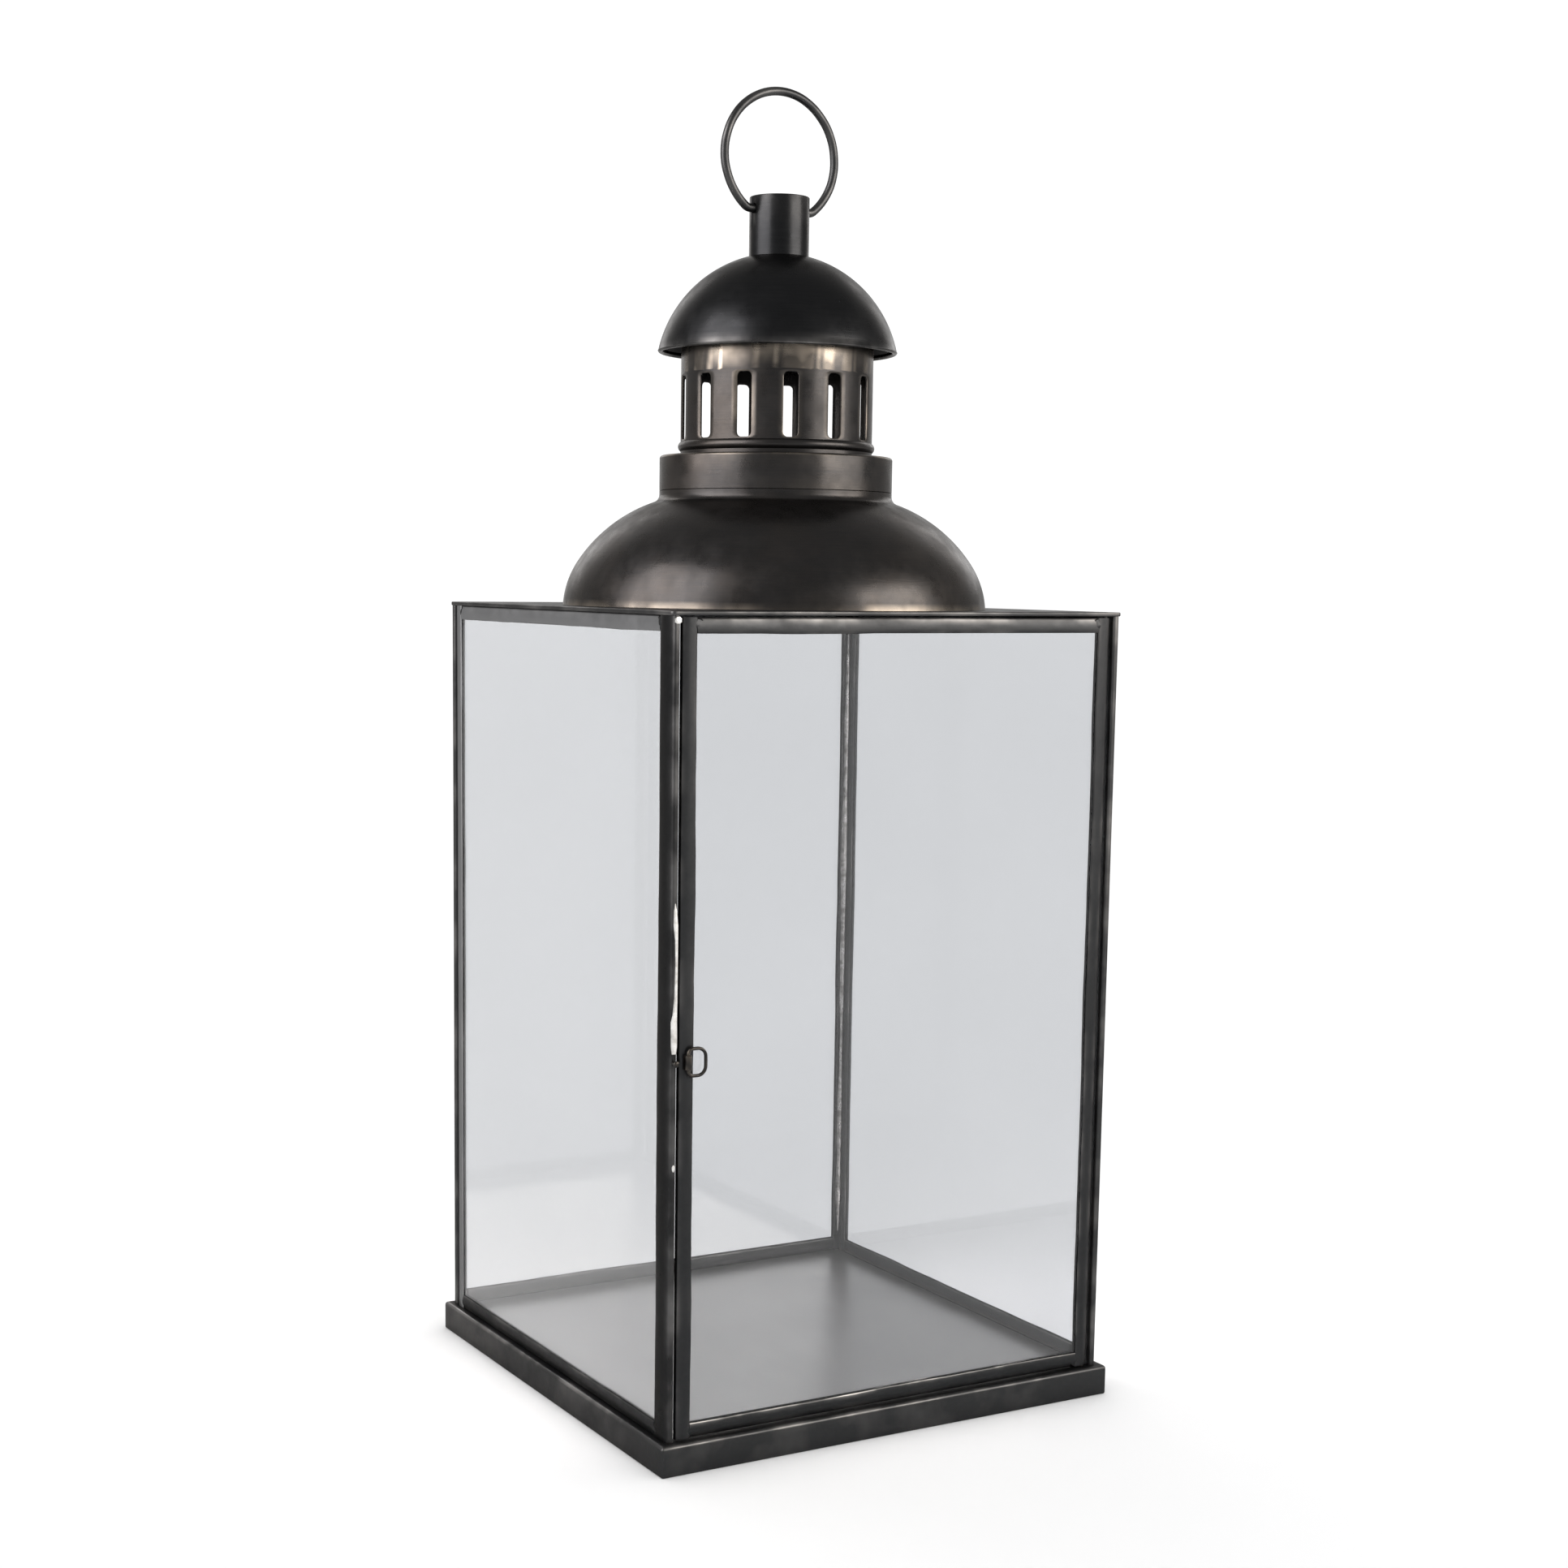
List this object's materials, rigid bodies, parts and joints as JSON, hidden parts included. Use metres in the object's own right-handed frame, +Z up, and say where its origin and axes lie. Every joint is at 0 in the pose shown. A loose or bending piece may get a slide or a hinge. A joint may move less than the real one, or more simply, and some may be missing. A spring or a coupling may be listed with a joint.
{
  "type": "candle lantern",
  "caption": "Square glass candle lantern on a low plinth, with a hinged front door, wire latch, domed vented top and a swinging ring handle.",
  "frame": {"origin": "centre of the underside of the plinth", "axes": "+Z up, -Y towards the door, +X to the right when facing the door"},
  "size_m": [0.1568, 0.1568, 0.3987],
  "materials": {
    "antique_bronze": "dark antique bronze, semi-gloss, rubbed on the edges",
    "galvanised_sheet": "satin zinc-coated sheet",
    "clear_glass": "clear float glass",
    "dark_wire": "darkened steel wire"
  },
  "bodies": {
    "lantern_body": {"back_bottom_rail": "antique_bronze", "back_left_stile": "antique_bronze", "back_pane": "clear_glass", "back_right_stile": "antique_bronze", "back_top_rail": "antique_bronze", "cap": "antique_bronze", "collar": "antique_bronze", "dome": "antique_bronze", "floor_plate": "galvanised_sheet", "latch_stud": "dark_wire", "left_bottom_rail": "antique_bronze", "left_jamb": "antique_bronze", "left_pane": "clear_glass", "left_rear_stile": "antique_bronze", "left_top_rail": "antique_bronze", "neck_tube": "antique_bronze", "plinth_bar_back": "antique_bronze", "plinth_bar_front": "antique_bronze", "plinth_bar_left": "antique_bronze", "plinth_bar_right": "antique_bronze", "right_bottom_rail": "antique_bronze", "right_jamb": "antique_bronze", "right_pane": "clear_glass", "right_rear_stile": "antique_bronze", "right_top_rail": "antique_bronze", "roof_plate": "antique_bronze", "vent_cylinder": "antique_bronze"},
    "door": {"door_bottom_rail": "antique_bronze", "door_hinge_stile": "antique_bronze", "door_latch_stile": "antique_bronze", "door_pane": "clear_glass", "door_pivot_rod": "dark_wire", "door_top_rail": "antique_bronze", "latch_sleeve": "dark_wire"},
    "latch": {"latch_loop": "dark_wire"},
    "handle": {"ring_handle": "antique_bronze"}
  },
  "joints": [
    {"name": "door_hinge", "type": "hinge", "parent": "lantern_body", "child": "door", "pos_m": [0.0712, -0.0746, 0.125], "axis": [0, 0, 1], "range_deg": [0, 105]},
    {"name": "latch_swing", "type": "hinge", "parent": "door", "child": "latch", "pos_m": [-0.0706, -0.07715, 0.1185], "axis": [0, 0, -1], "range_deg": [0, 178]},
    {"name": "handle_swing", "type": "hinge", "parent": "lantern_body", "child": "handle", "pos_m": [0, 0, 0.36237], "axis": [1, 0, 0], "range_deg": [-128, 128]}
  ]
}
